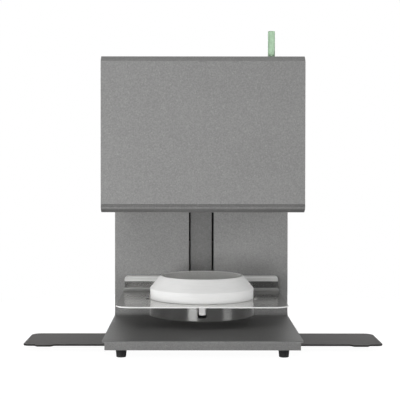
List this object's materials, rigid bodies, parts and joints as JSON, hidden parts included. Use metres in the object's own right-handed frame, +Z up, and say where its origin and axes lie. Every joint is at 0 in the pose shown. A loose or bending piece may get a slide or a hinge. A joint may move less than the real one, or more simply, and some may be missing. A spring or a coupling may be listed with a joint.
{
  "type": "dental lab furnace",
  "caption": "Bench sintering furnace: box head on a rear column, lift plate with insulation ring and dish that rises into the head from below, pull-out side trays.",
  "frame": {"origin": "on the table, under the middle of the furnace's box, on the axis of the round firing chamber", "axes": "+X to the right as seen from the front, +Y towards the back, +Z up; the front faces -Y"},
  "size_m": [0.7215, 0.47, 0.6335],
  "materials": {
    "grey_paint": "satin metallic grey powder coat",
    "inner_steel": "galvanised sheet",
    "tray_lacquer": "dark satin lacquer",
    "stainless": "fine brushed stainless",
    "polished_steel": "polished",
    "fibre_insulation": "matt fibre board",
    "dish_ceramic": "matt fired ceramic",
    "technical_ceramic": "matt",
    "rubber": "matt black",
    "black_plastic": "fine moulded grain",
    "lamp_green": "translucent light green",
    "aluminium": "milled",
    "brass": "turned",
    "silicide": "fired dark grey",
    "winding": "lacquered copper wire under tape",
    "board_green": "printed board"
  },
  "bodies": {
    "stand": {"base_pan": "grey_paint", "chamber_insulation": "fibre_insulation", "chamber_mouth": "fibre_insulation", "chamber_roof": "fibre_insulation", "chamber_shell": "inner_steel", "column_cover": "grey_paint", "control_board": "board_green", "control_socket": "aluminium", "drive_belt": "rubber", "drive_bracket": "inner_steel", "fan_frame": "black_plastic", "foot_front_left": "rubber", "foot_front_right": "rubber", "foot_rear_left": "rubber", "foot_rear_right": "rubber", "fuse_holder": "black_plastic", "guide_rod_left": "polished_steel", "guide_rod_right": "polished_steel", "head_floor": "inner_steel", "head_hood": "grey_paint", "head_side_left": "grey_paint", "head_side_right": "grey_paint", "heating_element_1": "silicide", "heating_element_2": "silicide", "heating_element_3": "silicide", "heating_element_4": "silicide", "lift_motor": "black_plastic", "power_inlet": "black_plastic", "rear_panel": "grey_paint", "slot_cover": "grey_paint", "spindle_bearing_lower": "polished_steel", "spindle_bearing_upper": "polished_steel", "stand_panel": "grey_paint", "status_lamp": "lamp_green", "switch_frame": "black_plastic", "thermocouple": "technical_ceramic", "transformer_coil": "winding", "transformer_core": "inner_steel", "tray_rail_front": "inner_steel", "tray_rail_rear": "inner_steel", "upper_bracket": "aluminium"},
    "lift": {"lift_plate": "stainless", "lift_drum": "polished_steel", "insulation_base": "fibre_insulation", "insulation_core": "fibre_insulation", "insulation_ring": "fibre_insulation", "locating_lug": "fibre_insulation", "ring_clip_left": "stainless", "ring_clip_right": "stainless", "lift_yoke": "aluminium", "lift_carriage": "aluminium", "spindle_nut": "brass"},
    "dish": {"firing_dish": "dish_ceramic"},
    "spindle": {"lift_spindle": "polished_steel", "spindle_pulley": "polished_steel"},
    "motor_rotor": {"motor_pulley": "polished_steel"},
    "fan": {"fan_rotor": "black_plastic"},
    "tray_left": {"left_tray": "tray_lacquer"},
    "tray_right": {"right_tray": "tray_lacquer"},
    "switch": {"switch_rocker": "black_plastic"}
  },
  "joints": [
    {"name": "lift_slide", "type": "slide", "parent": "stand", "child": "lift", "axis": [0, 0, 1], "range_m": [0, 0.19]},
    {"name": "spindle_turn", "type": "hinge", "parent": "stand", "child": "spindle", "pos_m": [0, 0.171, 0.0519], "axis": [0, 0, 1], "range_deg": [0, 3420]},
    {"name": "motor_turn", "type": "hinge", "parent": "stand", "child": "motor_rotor", "pos_m": [0.1, 0.171, 0.0519], "axis": [0, 0, 1], "range_deg": [0, 3420]},
    {"name": "dish_lift", "type": "slide", "parent": "lift", "child": "dish", "axis": [0, 0, 1], "range_m": [0, 0.04]},
    {"name": "left_tray_slide", "type": "slide", "parent": "stand", "child": "tray_left", "axis": [1, 0, 0], "range_m": [0, 0.11]},
    {"name": "right_tray_slide", "type": "slide", "parent": "stand", "child": "tray_right", "axis": [-1, 0, 0], "range_m": [0, 0.11]},
    {"name": "fan_spin", "type": "hinge", "parent": "stand", "child": "fan", "pos_m": [0.1, 0.2177, 0.493], "axis": [0, 1, 0], "continuous": true},
    {"name": "switch_tilt", "type": "hinge", "parent": "stand", "child": "switch", "pos_m": [0.152, 0.2243, 0.1039], "axis": [0, 0, 1], "range_deg": [-12, 0]}
  ],
  "couplings": [
    {"joint": "spindle_turn", "follows": "lift_slide", "rad_per_m": 314.16},
    {"joint": "motor_turn", "follows": "lift_slide", "rad_per_m": 314.16}
  ]
}
